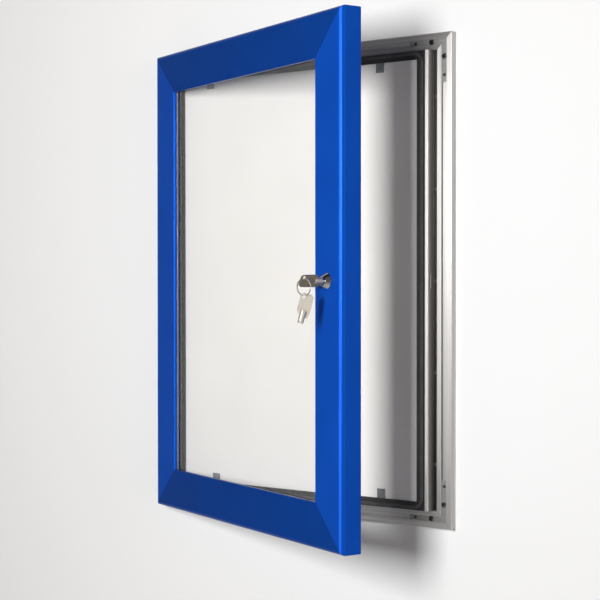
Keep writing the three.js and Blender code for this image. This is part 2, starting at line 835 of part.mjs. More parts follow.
// Places a key by its hole and by two directions, from its axis to the hole and from its tip to its bow
function addKey(parent, prefix, hole, across, along) {
  const group = new THREE.Group();
  group.position.copy(hole).addScaledVector(across, -key.holeAcross).addScaledVector(along, -key.holeAlong);
  const axes = new THREE.Matrix4().makeBasis(across, along, across.clone().cross(along));
  group.quaternion.setFromRotationMatrix(axes);
  parent.add(group);
  piece(group, `${prefix}_bow`, bowGeometry(), nickelPlate);
  piece(group, `${prefix}_tube`, tubeGeometry(), nickelPlate);
}

// Centre line of the split ring: two flat turns side by side with a step over from one to the other
class SplitRingLine extends THREE.Curve {
  getPoint(share, target = new THREE.Vector3()) {
    const { radius, pitch, stepOver } = ring;
    const angle = stepOver / 2 + share * (4 * Math.PI - stepOver);
    const middle = 2 * Math.PI;
    const side = THREE.MathUtils.smoothstep(angle, middle - stepOver / 2, middle + stepOver / 2) - 0.5;
    return target.set(radius * Math.cos(angle), pitch * side, radius * Math.sin(angle) - radius);
  }
}

// The least clear space between the ring's turns, measured between points a quarter turn or more apart
function leastTurnGap(line) {
  const points = line.getPoints(8 * ring.steps);
  const quarter = ring.steps;
  let least = Infinity;
  points.forEach((point, index) => {
    points.slice(index + quarter).forEach((other) => {
      least = Math.min(least, point.distanceTo(other));
    });
  });
  return least - 2 * ring.wireRadius;
}

function ringGeometry() {
  const line = new SplitRingLine();
  console.log(`Split ring: least gap between its turns ${leastTurnGap(line).toFixed(2)} mm`);
  const section = circle(0, 0, ring.wireRadius);
  return new THREE.ExtrudeGeometry(section, { extrudePath: line, steps: ring.steps, curveSegments: 4 });
}

function addKeys() {
  const wireToHole = key.holeRadius - ring.wireRadius - ring.holeSpare;
  const up = new THREE.Vector3(0, 0, 1);
  const out = new THREE.Vector3(0, -1, 0);
  const across = new THREE.Vector3(Math.sin(key.turn), 0, Math.cos(key.turn));
  const tip = doorRail.front + lock.plugFace + key.tipStandoff;
  const hole = new THREE.Vector3(lockX, -tip - key.holeAlong, 0).addScaledVector(across, key.holeAcross);
  addKey(door, 'key', hole, across, out);

  const hanging = new THREE.Group();
  hanging.position.copy(hole).addScaledVector(across, -wireToHole);
  hanging.rotation.z = ring.turn;
  door.add(hanging);
  piece(hanging, 'key_ring', ringGeometry(), nickelPlate);

  const level = new THREE.Vector3(Math.cos(spareKey.faceTurn), Math.sin(spareKey.faceTurn), 0);
  const spareHole = new THREE.Vector3(0, 0, -2 * ring.radius - wireToHole);
  const spareAlong = level.clone().multiplyScalar(Math.sin(spareKey.lean));
  spareAlong.addScaledVector(up, Math.cos(spareKey.lean));
  const spareAcross = level.clone().multiplyScalar(-Math.cos(spareKey.lean));
  spareAcross.addScaledVector(up, Math.sin(spareKey.lean));
  addKey(hanging, 'spare_key', spareHole, spareAcross, spareAlong);
}

addFrameRails();
addFrameKeys();
addLockStrip();
addBoard();
addSeal();
addClips();
addDoorRails();
addDoorKeys();
addGlazing();
addHinges();
addLock();
addKeys();

export default noticeBoard;
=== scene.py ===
"""Studio scene of a lockable notice board: a blue glazed door that stands open on an anodised wall frame.

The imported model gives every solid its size, place and motion. This script gives each its surface, adds
the small fasteners, threads and cuts that are too fine for the solids, and lights the whole plainly in
front of a white wall.

The scene and the studio's sizes are in metres, the sizes in finishes and assemblies in millimetres.
+X right, +Z up, -Y out of the wall.
"""

import json
import logging
import math
from collections.abc import Callable, Sequence
from dataclasses import dataclass
from enum import Enum
from typing import ClassVar

import bmesh
import bpy
import numpy as np
from bmesh.types import BMesh
from bpy.types import Material, Node, NodeSocket, NodeTree, Object
from mathutils import Matrix, Vector


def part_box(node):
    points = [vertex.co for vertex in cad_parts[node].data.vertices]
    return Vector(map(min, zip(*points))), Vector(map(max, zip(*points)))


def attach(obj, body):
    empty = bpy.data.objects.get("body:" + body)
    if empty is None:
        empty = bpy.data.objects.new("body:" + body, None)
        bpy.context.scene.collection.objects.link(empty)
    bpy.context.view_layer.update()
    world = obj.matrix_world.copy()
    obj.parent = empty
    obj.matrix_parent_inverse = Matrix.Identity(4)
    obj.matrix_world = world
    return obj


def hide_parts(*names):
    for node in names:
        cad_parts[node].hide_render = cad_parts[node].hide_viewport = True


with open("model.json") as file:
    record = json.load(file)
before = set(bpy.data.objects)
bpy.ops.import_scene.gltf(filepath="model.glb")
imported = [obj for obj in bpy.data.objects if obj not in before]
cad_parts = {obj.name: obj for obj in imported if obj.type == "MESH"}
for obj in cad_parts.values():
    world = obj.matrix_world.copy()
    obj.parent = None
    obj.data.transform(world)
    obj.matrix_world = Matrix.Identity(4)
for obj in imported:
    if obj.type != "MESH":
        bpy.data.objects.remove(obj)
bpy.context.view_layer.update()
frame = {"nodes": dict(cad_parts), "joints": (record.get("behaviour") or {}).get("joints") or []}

log = logging.getLogger("notice_board")

MM = 0.001
RIGHT = Vector((1, 0, 0))
UP = Vector((0, 0, 1))
OUT = Vector((0, -1, 0))

# Two and three sizes or coordinates.
Pair = tuple[float, float]
Triple = tuple[float, float, float]

# How far the wall frame's screw holes are from the middle along X and Z, in millimetres. All four corners
# are alike.
WALL_HOLES = ((208.5, 315.05), (228.05, 295.5))

# Most of a noise's values lie between these two.
NOISE_RANGE = (0.3, 0.7)


def linear(colour: str, alpha: float = 1.0) -> tuple[float, float, float, float]:
    """Turns an sRGB hex colour to linear light.

    Args:
        colour: Six hex digits after a hash sign.
        alpha: The fourth channel.

    Returns:
        Red, green, blue and alpha.
    """
    parts = (int(colour[at : at + 2], 16) / 255 for at in (1, 3, 5))
    red, green, blue = (c / 12.92 if c <= 0.04045 else ((c + 0.055) / 1.055) ** 2.4 for c in parts)
    return red, green, blue, alpha


def per_metre(millimetres: float) -> float:
    """How often a pattern of that size, in millimetres, repeats in a metre."""
    return 1 / (millimetres * MM)


def feed(node: Node, inputs: dict) -> None:
    """Links or sets a node's inputs.

    Args:
        node: The node.
        inputs: What each input gets, by name or number: a socket to link from, or a value.
    """
    for name, value in inputs.items():
        if isinstance(value, NodeSocket):
            node.id_data.links.new(value, node.inputs[name])
        else:
            node.inputs[name].default_value = value


def add_node(tree: NodeTree, kind: str, settings: dict | None = None, inputs: dict | None = None) -> Node:
    """Adds a node with its settings and its links.

    Args:
        tree: The tree that it goes into.
        kind: The node's type name.
        settings: Its properties by name.
        inputs: What its inputs get, as in feed().

    Returns:
        The node.
    """
    node = tree.nodes.new(kind)
    for name, value in (settings or {}).items():
        setattr(node, name, value)
    feed(node, inputs or {})
    return node


class Grain(Enum):
    """The way that an extrusion's die lines run."""

    UPRIGHT = (0.0, 0.0, 1.0)
    LEVEL = (1.0, 0.0, 0.0)


@dataclass(frozen=True)
class Finish:
    """A surface finish: the material's name, the record's slot, and how the surface is shaded."""

    slot: ClassVar[str] = ""
    name: str

    def material(self) -> Material:
        """Makes the finish's material, or finds it if it is made.

        Returns:
            The material.
        """
        made = bpy.data.materials.get(self.name)
        if made:
            return made
        material = bpy.data.materials.new(self.name)
        material.use_nodes = True
        tree = material.node_tree
        tree.nodes.clear()
        surface = add_node(tree, "ShaderNodeBsdfPrincipled")
        add_node(tree, "ShaderNodeOutputMaterial", inputs={"Surface": surface.outputs[0]})
        self.shade(tree, surface)
        return material

    def shade(self, tree: NodeTree, surface: Node) -> None:
        """Sets up the surface shader.

        Args:
            tree: The material's nodes.
            surface: Its Principled shader.
        """
        raise NotImplementedError

    def noise(self, tree: NodeTree, size: Triple, detail: float = 2.0, roughness: float = 0.5) -> NodeSocket:
        """Adds noise in the object's own space.

        Args:
            tree: The material's nodes.
            size: Its size in millimetres along X, Y and Z.
            detail: How many finer layers it has.
            roughness: How strong they are.

        Returns:
            The noise's value.
        """
        place = add_node(tree, "ShaderNodeTexCoord").outputs["Object"]
        scale = tuple(per_metre(length) for length in size)
        moved = {"Vector": place, "Scale": scale}
        scaled = add_node(tree, "ShaderNodeMapping", {"vector_type": "POINT"}, moved)
        inputs = {"Vector": scaled.outputs[0], "Scale": 1.0, "Detail": detail, "Roughness": roughness}
        return add_node(tree, "ShaderNodeTexNoise", inputs=inputs).outputs["Fac"]

    def spread(self, value: NodeSocket, low: float, high: float) -> NodeSocket:
        """Turns the middle part of a noise's range into a range of numbers.

        Args:
            value: The noise.
            low: What its low end becomes.
            high: What its high end becomes.

        Returns:
            The new value.
        """
        bottom, top = NOISE_RANGE
        ends = {"Value": value, "From Min": bottom, "From Max": top, "To Min": low, "To Max": high}
        return add_node(value.id_data, "ShaderNodeMapRange", inputs=ends).outputs[0]

    def mottle(self, value: NodeSocket, low: str, high: str) -> NodeSocket:
        """Mixes two colours, given as hex, by a noise."""
        return self.blend(self.spread(value, 0.0, 1.0), low, high)

    def blend(self, share: NodeSocket, low: NodeSocket | str, high: NodeSocket | str) -> NodeSocket:
        """Mixes two colours.

        Args:
            share: How much there is of the second, from 0 to 1.
            low: The first colour, as hex or as a socket.
            high: The second.

        Returns:
            The colour.
        """
        first, second = (linear(colour) if isinstance(colour, str) else colour for colour in (low, high))
        inputs = {0: share, 6: first, 7: second}
        return add_node(share.id_data, "ShaderNodeMix", {"data_type": "RGBA"}, inputs).outputs[2]

    def ramp(self, value: NodeSocket, start: float, end: float) -> NodeSocket:
        """Turns a length into a share that is 0 at its start and 1 at its end.

        Args:
            value: The length in metres.
            start: Where the share is 0, in millimetres.
            end: Where it is 1, in millimetres.

        Returns:
            The share.
        """
        inputs = {"Value": value, "From Min": start * MM, "From Max": end * MM}
        return add_node(value.id_data, "ShaderNodeMapRange", inputs=inputs).outputs[0]

    def relief(self, value: NodeSocket, height: float, under: NodeSocket | None = None) -> NodeSocket:
        """Turns a value into a bumped normal.

        Args:
            value: The height, from 0 to 1.
            height: What 1 stands for, in millimetres.
            under: The normal that it lies on.

        Returns:
            The normal.
        """
        inputs = {"Strength": 1.0, "Distance": height * MM, "Height": value}
        if under:
            inputs["Normal"] = under
        return add_node(value.id_data, "ShaderNodeBump", inputs=inputs).outputs[0]

    def let_through(self, surface: Node, share: NodeSocket, tint: str = "#ffffff") -> None:
        """Lets rays pass the surface straight.

        Args:
            surface: The Principled shader.
            share: How much passes, from 0 to 1.
            tint: The colour that passes, as hex.
        """
        tree = surface.id_data
        clear = add_node(tree, "ShaderNodeBsdfTransparent", inputs={"Color": linear(tint)})
        inputs = {0: share, 1: surface.outputs[0], 2: clear.outputs[0]}
        mix = add_node(tree, "ShaderNodeMixShader", inputs=inputs)
        output = next(node for node in tree.nodes if node.type == "OUTPUT_MATERIAL")
        tree.links.new(mix.outputs[0], output.inputs["Surface"])


@dataclass(frozen=True)
class PowderCoat(Finish):
    """Polyester powder coat, sprayed on aluminium and baked."""

    slot = "blue_powder_coat"
    deep: str
    light: str
    sheen: str = "#b8d4ff"
    cloud: float = 70.0
    peel: float = 1.8
    peel_height: float = 0.008
    grit: float = 0.4
    grit_height: float = 0.003
    roughness: Pair = (0.28, 0.33)
    gloss: float = 0.08
    metallic: float = 0.2

    def shade(self, tree: NodeTree, surface: Node) -> None:
        """Deep satin blue with the faint orange peel of baked powder."""
        # The eye gets one even blue. The peel only breaks up the edge of a highlight, so it is drawn a little
        # coarse. The weak, tinted gloss and the metallic share match the photograph: the real coat may have
        # neither.
        cloud = self.noise(tree, (self.cloud,) * 3, 1.0)
        peel = self.noise(tree, (self.peel,) * 3, 2.0)
        grit = self.noise(tree, (self.grit,) * 3, 1.0)
        inputs = {
            "Base Color": self.mottle(cloud, self.deep, self.light),
            "Roughness": self.spread(peel, *self.roughness),
            "Normal": self.relief(grit, self.grit_height, self.relief(peel, self.peel_height)),
            "IOR": 1.5,
            "Specular IOR Level": self.gloss,
            "Specular Tint": linear(self.sheen),
            "Metallic": self.metallic,
        }
        feed(surface, inputs)


@dataclass(frozen=True)
class AnodisedAluminium(Finish):
    """Extruded aluminium, etched and satin anodised."""

    slot = "satin_anodised_aluminium"
    grain: Grain
    dull: str = "#b0aeab"
    bright: str = "#c8c6c3"
    line: float = 0.5
    line_height: float = 0.006
    band: float = 3.0
    run: float = 400.0
    roughness: Pair = (0.36, 0.46)
    metallic: float = 0.78
    # Where the channel's painted shade starts and ends along X, how far out it reaches, and how softly it
    # ends.
    hollow: Pair | None = None
    hollow_top: float = 17.0
    hollow_left_fade: float = 0.2
    hollow_right_fade: float = 2.5
    hollow_top_fade: float = 1.0
    hollow_shade_colour: str = "#2f2b27"

    def shade(self, tree: NodeTree, surface: Node) -> None:
        """Silver grey with die lines along the length, which draw each reflection out across them."""
        # The eye gets a soft metal whose brightness turns with the grain. The lines are drawn coarser than
        # the real tenth of a millimetre, so that they show.
        size = tuple(self.run if part else self.line for part in self.grain.value)
        wide = tuple(self.run if part else self.band for part in self.grain.value)
        lines = self.noise(tree, size, 2.0)
        bands = self.noise(tree, wide, 1.0)
        colour = self.mottle(bands, self.dull, self.bright)
        if self.hollow:
            # Painted shade: the channel beside the lock strip is darkened.
            colour = self.blend(self.hollow_shade_share(tree), colour, self.hollow_shade_colour)
        spaces = {"vector_type": "VECTOR", "convert_from": "OBJECT", "convert_to": "WORLD"}
        along = add_node(tree, "ShaderNodeVectorTransform", spaces, {0: self.grain.value})
        inputs = {
            "Base Color": colour,
            "Roughness": self.spread(lines, *self.roughness),
            "Normal": self.relief(lines, self.line_height),
            "Tangent": along.outputs[0],
            "Metallic": self.metallic,
            "Anisotropic": 0.65,
            "Anisotropic Rotation": 0.25,
        }
        feed(surface, inputs)

    def hollow_shade_share(self, tree: NodeTree) -> NodeSocket:
        """How far a point lies in the channel beside the lock strip.

        The metal is painted darker there, to match the photograph's shade.

        Args:
            tree: The material's nodes.

        Returns:
            The share, from 0 outside the channel to 1 inside.
        """
        place = add_node(tree, "ShaderNodeTexCoord").outputs["Object"]
        parts = add_node(tree, "ShaderNodeSeparateXYZ", inputs={0: place})
        low, high = self.hollow
        across = parts.outputs["X"]
        share = self.ramp(across, low - self.hollow_left_fade, low + self.hollow_left_fade)
        for other in (
            self.ramp(across, high + self.hollow_right_fade, high - self.hollow_right_fade),
            self.ramp(parts.outputs["Y"], -self.hollow_top, self.hollow_top_fade - self.hollow_top),
        ):
            both = {0: share, 1: other}
            share = add_node(tree, "ShaderNodeMath", {"operation": "MULTIPLY"}, both).outputs[0]
        return share


@dataclass(frozen=True)
class Laminate(Finish):
    """White melamine laminate, pressed on a board."""

    slot = "white_laminate"
    shadow: str = "#f0eeea"
    lit: str = "#f3f1ed"
    cloud: float = 90.0
    press: float = 0.7
    press_height: float = 0.006
    roughness: Pair = (0.38, 0.48)

    def shade(self, tree: NodeTree, surface: Node) -> None:
        """Warm white sheet with a fine pressed texture."""
        # The eye gets an even white. The pressed grain only softens its shine.
        press = self.noise(tree, (self.press,) * 3, 2.0)
        cloud = self.noise(tree, (self.cloud,) * 3, 1.0)
        inputs = {
            "Base Color": self.mottle(cloud, self.shadow, self.lit),
            "Roughness": self.spread(press, *self.roughness),
            "Normal": self.relief(press, self.press_height),
            "IOR": 1.5,
        }
        feed(surface, inputs)


@dataclass(frozen=True)
class SealRubber(Finish):
    """Black EPDM rubber, extruded."""

    slot = "black_rubber"
    dark: str = "#2d2b2b"
    worn: str = "#454243"
    base_shade_colour: str = "#060505"
    base_top: float = 20.9
    bead_top: float = 22.1
    bloom: float = 14.0
    skin: float = 0.5
    skin_height: float = 0.01
    roughness: Pair = (0.46, 0.6)

    def shade(self, tree: NodeTree, surface: Node) -> None:
        """Matt black with the soft bloom of extruded rubber."""
        # The eye gets a bead whose top is dark grey, with a lighter mottle, so that its round corners show.
        # The base below it is painted black as painted shade: the rubber is probably one colour.
        bloom = self.noise(tree, (self.bloom,) * 3, 3.0, 0.6)
        skin = self.noise(tree, (self.skin,) * 3, 2.0)
        place = add_node(tree, "ShaderNodeTexCoord").outputs["Object"]
        depth = add_node(tree, "ShaderNodeSeparateXYZ", inputs={0: place}).outputs["Y"]
        rubbed = self.mottle(bloom, self.dark, self.worn)
        raised = self.ramp(depth, -self.base_top, -self.bead_top)
        inputs = {
            "Base Color": self.blend(raised, self.base_shade_colour, rubbed),
            "Roughness": self.spread(bloom, *self.roughness),
            "Normal": self.relief(skin, self.skin_height),
            "IOR": 1.52,
        }
        feed(surface, inputs)


@dataclass(frozen=True)
class Acrylic(Finish):
    """Clear acrylic sheet, cast and sawn to size."""

    slot = "clear_acrylic"
    tint: str = "#fefefe"
    smear: float = 120.0
    haze: float = 0.03

    def shade(self, tree: NodeTree, surface: Node) -> None:
        """Clear sheet that mirrors its surroundings faintly and casts no dark shadow."""
        # The eye gets the board behind it with a thin veil of reflection, a little uneven as a sheet is.
        smear = self.noise(tree, (self.smear,) * 3, 2.0)
        inputs = {
            "Base Color": linear(self.tint),
            "Roughness": self.spread(smear, 0.0, self.haze),
            "IOR": 1.49,
            "Transmission Weight": 1.0,
        }
        feed(surface, inputs)
        rays = add_node(tree, "ShaderNodeLightPath").outputs
        either = {0: rays["Is Shadow Ray"], 1: rays["Is Diffuse Ray"]}
        passed = add_node(tree, "ShaderNodeMath", {"operation": "MAXIMUM"}, either)
        self.let_through(surface, passed.outputs[0], self.tint)


@dataclass(frozen=True)
class ClipPlastic(Finish):
    """Smoky polycarbonate, moulded."""

    slot = "clip_plastic"
    thin: str = "#a3a9a7"
    thick: str = "#868c8a"
    flow: float = 6.0
    roughness: Pair = (0.18, 0.28)
    clearness: float = 0.35

    def shade(self, tree: NodeTree, surface: Node) -> None:
        """Grey translucent moulding that dims the white behind it."""
        # The eye gets a smoky patch with a soft shine.
        flow = self.noise(tree, (self.flow,) * 3, 2.0)
        inputs = {
            "Base Color": self.mottle(flow, self.thin, self.thick),
            "Roughness": self.spread(flow, *self.roughness),
            "IOR": 1.58,
            "Transmission Weight": self.clearness,
        }
        feed(surface, inputs)


@dataclass(frozen=True)
class Chrome(Finish):
    """Chrome plate on turned brass, polished."""

    slot = "bright_chrome"
    colour: str = "#c9c8c4"
    smudge: str = "#b4b3ae"
    film: float = 4.0
    roughness: Pair = (0.06, 0.16)

    def shade(self, tree: NodeTree, surface: Node) -> None:
        """Near mirror with faint handling marks."""
        # The eye gets dark and bright bands from the room, a little softened by fingers.
        film = self.noise(tree, (self.film,) * 3, 3.0)
        inputs = {
            "Base Color": self.mottle(film, self.colour, self.smudge),
            "Roughness": self.spread(film, *self.roughness),
            "Metallic": 1.0,
        }
        feed(surface, inputs)


@dataclass(frozen=True)
class NickelPlate(Finish):
    """Nickel plate on stamped brass or spring steel, tumbled."""

    slot = "nickel_plate"
    colour: str = "#c8c0b3"
    rubbed: str = "#aaa397"
    metallic: float = 0.45
    dents: float = 1.4
    dent_height: float = 0.01
    scratch: Triple = (0.25, 0.25, 3.5)
    roughness: Pair = (0.28, 0.42)

    def shade(self, tree: NodeTree, surface: Node) -> None:
        """Warm grey metal with the small dents and scratches of tumbling."""
        # The eye gets a warm, slightly uneven shine, as on any key that has been in a pocket.
        dents = self.noise(tree, (self.dents,) * 3, 3.0, 0.6)
        scratch = self.noise(tree, self.scratch, 1.0)
        inputs = {
            "Base Color": self.mottle(dents, self.colour, self.rubbed),
            "Roughness": self.spread(scratch, *self.roughness),
            "Normal": self.relief(dents, self.dent_height),
            "Metallic": self.metallic,
        }
        feed(surface, inputs)


@dataclass(frozen=True)
class ZincPlate(Finish):
    """Bright zinc plate on pressed or cast steel."""

    slot = "zinc_plate"
    bright: str = "#aeaea9"
    dull: str = "#75756f"
    speckle: float = 1.1
    speckle_height: float = 0.02
    roughness: Pair = (0.34, 0.52)
    metallic: float = 0.7
    holes: tuple[Pair, ...] = ()
    # How far from a hole's axis the painted shade starts, and where it is full.
    hole_start: float = 3.65
    hole_full: float = 3.55
    hole_shade_colour: str = "#080808"

    def shade(self, tree: NodeTree, surface: Node) -> None:
        """Grey plate mottled by its crystals."""
        # The eye gets a speckled grey. The speckle is drawn at a millimetre, coarser than the real one, so
        # that it shows. The walls of the screw holes are painted dark, to match the photograph's shade.
        speckle = self.noise(tree, (self.speckle,) * 3, 3.0, 0.7)
        colour = self.mottle(speckle, self.bright, self.dull)
        for across, up in self.holes:
            colour = self.blend(self.hole_share(tree, across, up), colour, self.hole_shade_colour)
        inputs = {
            "Base Color": colour,
            "Roughness": self.spread(speckle, *self.roughness),
            "Normal": self.relief(speckle, self.speckle_height),
            "Metallic": self.metallic,
        }
        feed(surface, inputs)

    def hole_share(self, tree: NodeTree, across: float, up: float) -> NodeSocket:
        """Whether a point lies on the wall of a screw hole.

        Args:
            tree: The material's nodes.
            across: How far the hole is from the object's middle along X, in millimetres.
            up: How far it is along Z.

        Returns:
            The share, 1 in the hole.
        """
        place = add_node(tree, "ShaderNodeTexCoord").outputs["Object"]
        mirrored = add_node(tree, "ShaderNodeVectorMath", {"operation": "ABSOLUTE"}, {0: place})
        flat = {0: mirrored.outputs[0], 1: (1.0, 0.0, 1.0)}
        level = add_node(tree, "ShaderNodeVectorMath", {"operation": "MULTIPLY"}, flat)
        ends = {0: level.outputs[0], 1: (across * MM, 0.0, up * MM)}
        off = add_node(tree, "ShaderNodeVectorMath", {"operation": "DISTANCE"}, ends)
        return self.ramp(off.outputs["Value"], self.hole_start, self.hole_full)


@dataclass(frozen=True)
class Paint(Finish):
    """Matt wall paint, rolled on smooth plaster. Its plane shows from the front only."""

    colour: str = "#f1f1f1"
    glow: float = 0.0
    mirrored: float = 0.0
    nap: float = 3.0
    roughness: Pair = (0.85, 0.95)
    gloss: float = 0.1

    def shade(self, tree: NodeTree, surface: Node) -> None:
        """White ground that takes the soft shadow, and lets the object's rear be seen from behind."""
        # The eye gets plain white with the finest roller texture. The glow shows to the camera, through glass
        # and in reflections only.
        roller = self.noise(tree, (self.nap,) * 3, 2.0)
        inputs = {
            "Base Color": linear(self.colour),
            "Roughness": self.spread(roller, *self.roughness),
            "Specular IOR Level": self.gloss,
        }
        feed(surface, inputs)
        self.let_through(surface, add_node(tree, "ShaderNodeNewGeometry").outputs["Backfacing"])
        if self.glow:
            path = add_node(tree, "ShaderNodeLightPath")
            rays = (
                ("Is Camera Ray", self.glow),
                ("Is Transmission Ray", self.glow),
                ("Is Glossy Ray", self.mirrored),
            )
            level = 0.0
            for ray, strength in rays:
                inputs = {0: path.outputs[ray], 1: strength}
                lit = add_node(tree, "ShaderNodeMath", {"operation": "MULTIPLY"}, inputs).outputs[0]
                inputs = {0: lit, 1: level}
                level = add_node(tree, "ShaderNodeMath", {"operation": "MAXIMUM"}, inputs).outputs[0]
            tree.links.new(level, surface.inputs["Emission Strength"])


# The real coat and the real metal are probably one colour each. The level rails' deeper blue is painted
# shade, the upright beads' darker tone is painted shade, the strip's paler tone is painted light, and the
# dark hollows are painted shade.
BLUE_UPRIGHT = PowderCoat("powder_coat_blue_upright", "#0747ab", "#094ab1")
BLUE_LEVEL_SHADED = PowderCoat("powder_coat_blue_level_painted_shade", "#063988", "#073c8e")
SILVER_UPRIGHT = AnodisedAluminium("anodised_aluminium_upright", Grain.UPRIGHT)
SILVER_LEVEL = AnodisedAluminium("anodised_aluminium_level", Grain.LEVEL)
# The channel beside the lock strip is darkened as painted shade.
SILVER_CHANNEL_SHADED = AnodisedAluminium("anodised_aluminium_channel_painted_shade", Grain.UPRIGHT, hollow=(209.3, 210.5))
# The strip's paler tones are painted light, and its side and foot are darkened as painted shade.
SILVER_STRIP_LIT_AND_SHADED = AnodisedAluminium(
    "anodised_aluminium_strip_painted_light_and_shade",
    Grain.UPRIGHT,
    "#d8d5d1",
    "#ebe8e4",
    hollow=(209.3, 216.5),
)
# The upright beads get a darker copy of the metal, as painted shade.
SHADED_BEAD = AnodisedAluminium("anodised_aluminium_bead_painted_shade", Grain.UPRIGHT, "#6b675f", "#7b776f")
WHITE_BOARD = Laminate("melamine_laminate_white")
BLACK_SEAL = SealRubber("epdm_rubber_black")
CLEAR_SHEET = Acrylic("acrylic_sheet_clear")
SMOKY_CLIP = ClipPlastic("polycarbonate_smoky")
LOCK_CHROME = Chrome("chrome_plate_polished")
KEY_NICKEL = NickelPlate("nickel_plate_tumbled")
# The key in the lock gets a darker, browner copy of the keys' nickel, as painted shade.
KEY_SHADED = NickelPlate("nickel_plate_painted_shade", "#93886c", "#6d644e", metallic=0.25)
FITTING_ZINC = ZincPlate("zinc_plate_bright")
# The corner keys' screw holes are darkened inside as painted shade.
DRILLED_ZINC = ZincPlate("zinc_plate_drilled_painted_shade", holes=WALL_HOLES)
# The screws get a darker copy of the zinc, as painted shade for the shade in their sockets and recesses.
SHADED_SCREW_ZINC = ZincPlate("zinc_plate_painted_shade", "#6a6a66", "#2c2c29")
WALL_PAINT = Paint("matt_paint_white")
FLOOR_PAINT = Paint("matt_paint_floor", glow=0.62, mirrored=0.16)
# Black discs on the wall behind the frame's screw holes, as painted shade.
HOLE_SHADE_PAINT = Paint("painted_shade_behind_frame_holes", "#0c0b0a")


def joint(name: str) -> dict:
    """The frame's joint of that name."""
    return next(entry for entry in frame["joints"] if entry["name"] == name)


def centre(node: str) -> Vector:
    """The middle of a CAD node's box."""
    low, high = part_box(node)
    return (low + high) / 2


def shut_to_rest() -> Matrix:
    """Where the door stands at rest, as a move from where it is when shut.

    Returns:
        The matrix that takes a point of the shut door to its place at rest.
    """
    entry = joint("door_hinge")
    pivot = Vector(entry["pos_m"])
    opened = math.radians(-entry["range_deg"][0])
    turn = Matrix.Rotation(opened, 4, Vector(entry["axis"]))
    return Matrix.Translation(pivot) @ turn @ Matrix.Translation(-pivot)


def principal_axes(node: str) -> tuple[Vector, list[Vector]]:
    """The middle of a CAD node's corners and the directions in which they spread.

    Args:
        node: The node's name.

    Returns:
        The mean corner, and three unit directions from the longest to the shortest spread.
    """
    corners = {tuple(round(part, 6) for part in vertex.co) for vertex in frame["nodes"][node].data.vertices}
    points = np.array(sorted(corners))
    mean = points.mean(0)
    _, directions = np.linalg.eigh(np.cov((points - mean).T))
    return Vector(mean), [Vector(directions[:, column]) for column in (2, 1, 0)]


def basis(across: Vector, side: Vector, along: Vector, origin: Vector) -> Matrix:
    """The matrix that takes X, Y and Z to three directions at a place."""
    matrix = Matrix((across, side, along)).transposed().to_4x4()
    matrix.translation = origin
    return matrix


def facing_out(place: Vector) -> Matrix:
    """The matrix that turns Z out of the wall at a place."""
    return basis(RIGHT, UP, OUT, place)


def around(radius: float, angle: float, height: float) -> Triple:
    """The point at an angle about Z, in metres. Its radius and height are in millimetres."""
    return radius * math.cos(angle) * MM, radius * math.sin(angle) * MM, height * MM


def turned(profile: Sequence[Pair], steps: int) -> BMesh:
    """Turns a profile about Z.

    Args:
        profile: Radius and height of each point, in millimetres, from one end on the axis to the other.
        steps: How many sides the turn has.

    Returns:
        The closed mesh, in metres.
    """
    mesh = bmesh.new()
    rings = []
    for radius, height in profile:
        if radius == 0:
            rings.append([mesh.verts.new((0, 0, height * MM))])
            continue
        angles = (2 * math.pi * step / steps for step in range(steps))
        ring = [around(radius, angle, height) for angle in angles]
        rings.append([mesh.verts.new(point) for point in ring])
    for lower, upper in zip(rings, rings[1:]):
        for step in range(steps):
            after = (step + 1) % steps
            walk = ((lower, step), (lower, after), (upper, after), (upper, step))
            mesh.faces.new(list(dict.fromkeys(ring[at % len(ring)] for ring, at in walk)))
    bmesh.ops.recalc_face_normals(mesh, faces=mesh.faces)
    return mesh


def new_object(name: str, mesh: BMesh, place: Matrix, finish: Finish) -> Object:
    """Makes an object of a mesh.

    Args:
        name: The object's name.
        mesh: Its mesh, which is used up.
        place: Where it goes, in the row's frame.
        finish: Its finish.

    Returns:
        The object.
    """
    mesh.transform(place)
    data = bpy.data.meshes.new(name)
    mesh.to_mesh(data)
    mesh.free()
    data.materials.append(finish.material())
    made = bpy.data.objects.new(name, data)
    bpy.context.scene.collection.objects.link(made)
    return made


